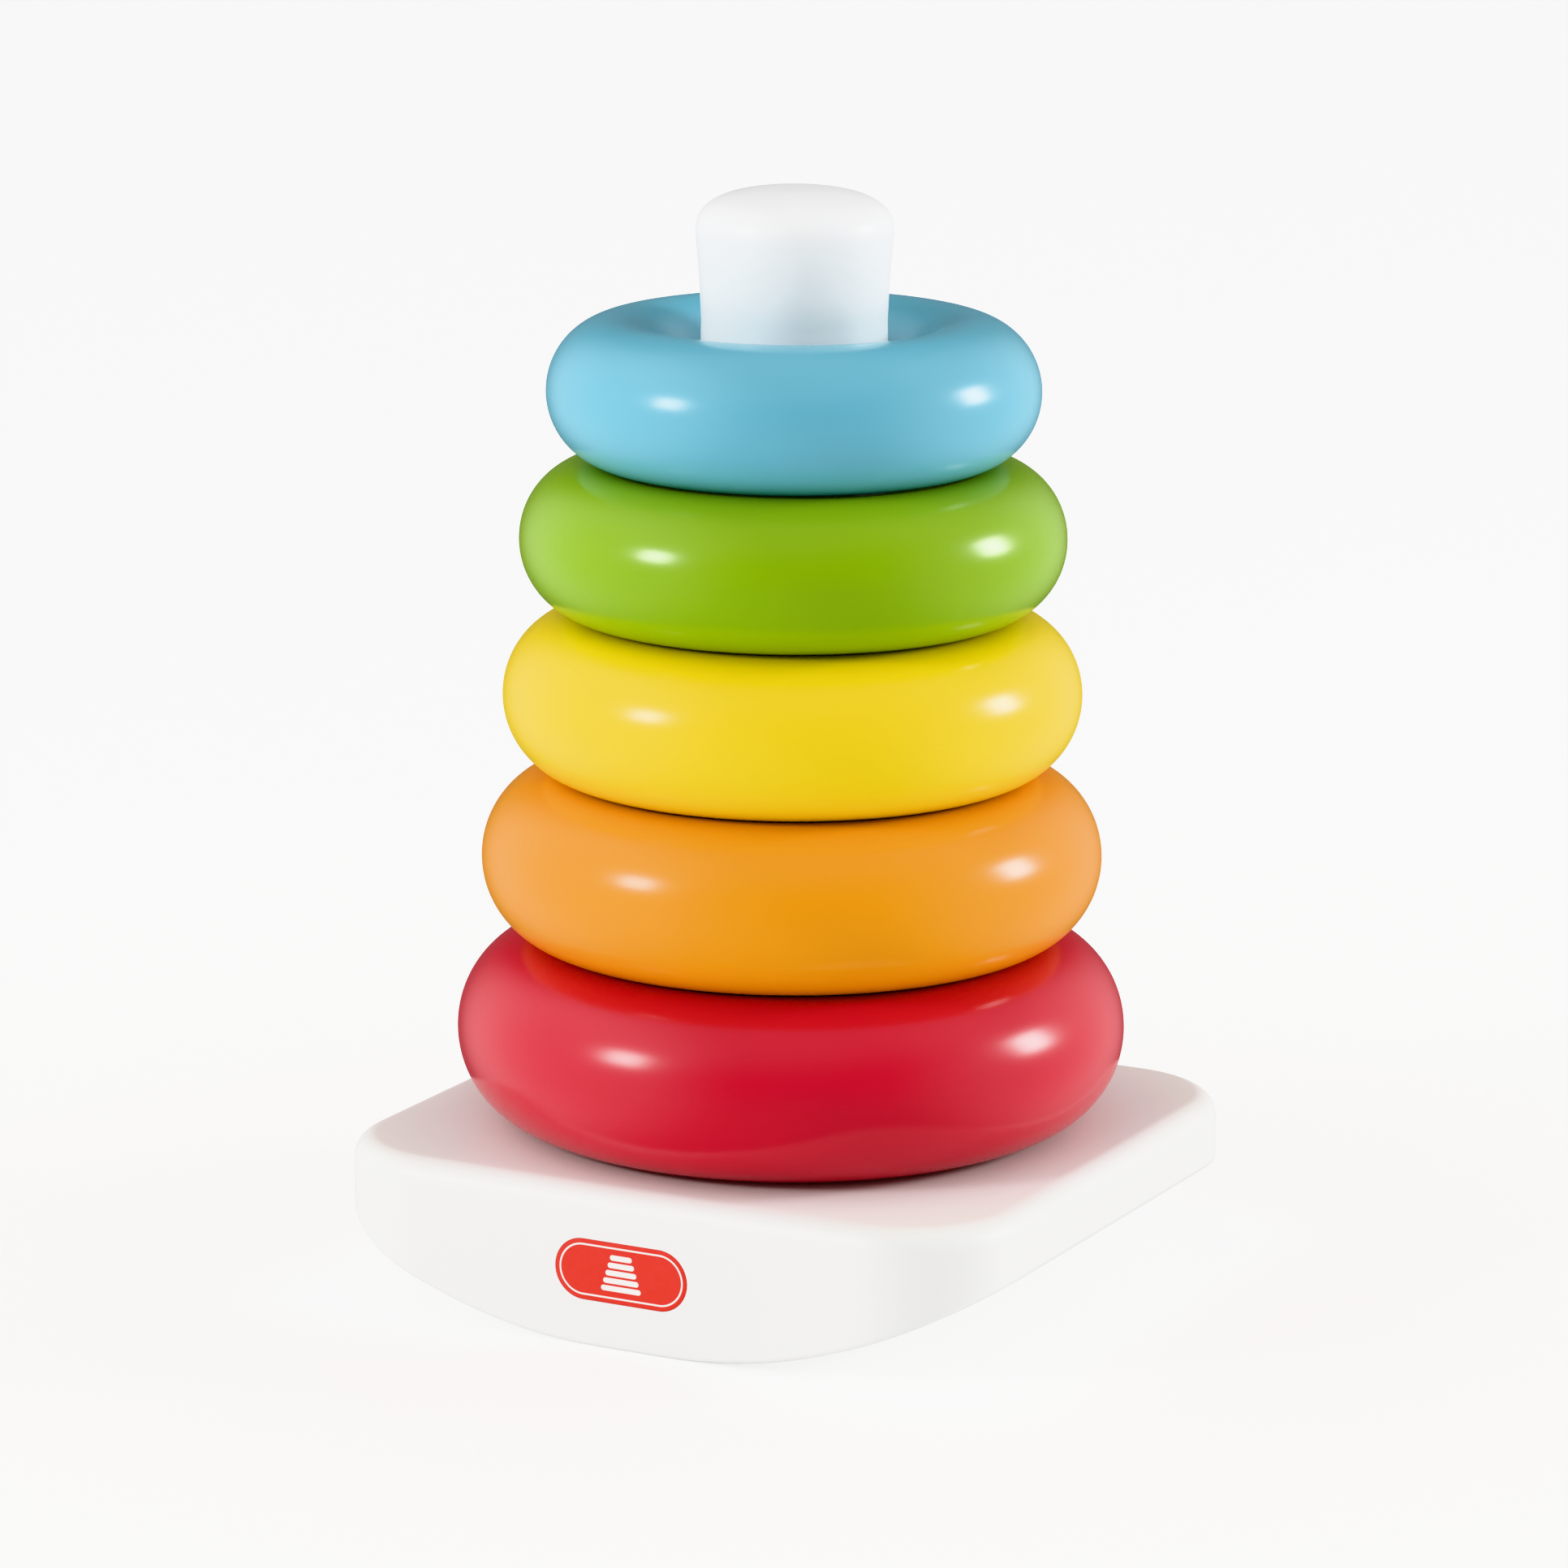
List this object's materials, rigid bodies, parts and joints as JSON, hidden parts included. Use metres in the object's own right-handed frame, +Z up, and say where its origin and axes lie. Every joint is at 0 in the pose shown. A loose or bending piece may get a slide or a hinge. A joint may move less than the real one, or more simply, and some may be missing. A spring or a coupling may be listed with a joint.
{
  "type": "stacking ring toy",
  "caption": "Rocking base with an upright post and hollow rings of graded size that lift off over its knob.",
  "frame": {"origin": "on the floor under the middle of the post, at the centre of the flat strip of the underside", "axes": "+Z up along the post, X along the rocking curve, -Y towards the side with the badge"},
  "size_m": [0.1322, 0.1232, 0.2],
  "materials": {
    "white_base": "smooth moulded, soft sheen",
    "white_post": "smooth moulded, soft sheen",
    "red_badge": "printed label film",
    "red_ring": "smooth moulded, satin gloss",
    "orange_ring": "smooth moulded, satin gloss",
    "yellow_ring": "smooth moulded, satin gloss",
    "green_ring": "smooth moulded, satin gloss",
    "blue_ring": "smooth moulded, satin gloss"
  },
  "bodies": {
    "base": {"base_top_shell": "white_base", "base_rocker_plate": "white_base", "post": "white_post", "front_badge": "red_badge"},
    "red_ring": {"red_ring_lower_shell": "red_ring", "red_ring_upper_shell": "red_ring"},
    "orange_ring": {"orange_ring_lower_shell": "orange_ring", "orange_ring_upper_shell": "orange_ring"},
    "yellow_ring": {"yellow_ring_lower_shell": "yellow_ring", "yellow_ring_upper_shell": "yellow_ring"},
    "green_ring": {"green_ring_lower_shell": "green_ring", "green_ring_upper_shell": "green_ring"},
    "blue_ring": {"blue_ring_lower_shell": "blue_ring", "blue_ring_upper_shell": "blue_ring"}
  },
  "joints": [
    {"name": "red_ring_lift", "type": "slide", "parent": "base", "child": "red_ring", "axis": [0, 0, 1], "range_m": [0, 0.181]},
    {"name": "orange_ring_lift", "type": "slide", "parent": "red_ring", "child": "orange_ring", "axis": [0, 0, 1], "range_m": [0, 0.148]},
    {"name": "yellow_ring_lift", "type": "slide", "parent": "orange_ring", "child": "yellow_ring", "axis": [0, 0, 1], "range_m": [0, 0.117]},
    {"name": "green_ring_lift", "type": "slide", "parent": "yellow_ring", "child": "green_ring", "axis": [0, 0, 1], "range_m": [0, 0.088]},
    {"name": "blue_ring_lift", "type": "slide", "parent": "green_ring", "child": "blue_ring", "axis": [0, 0, 1], "range_m": [0, 0.06]}
  ]
}
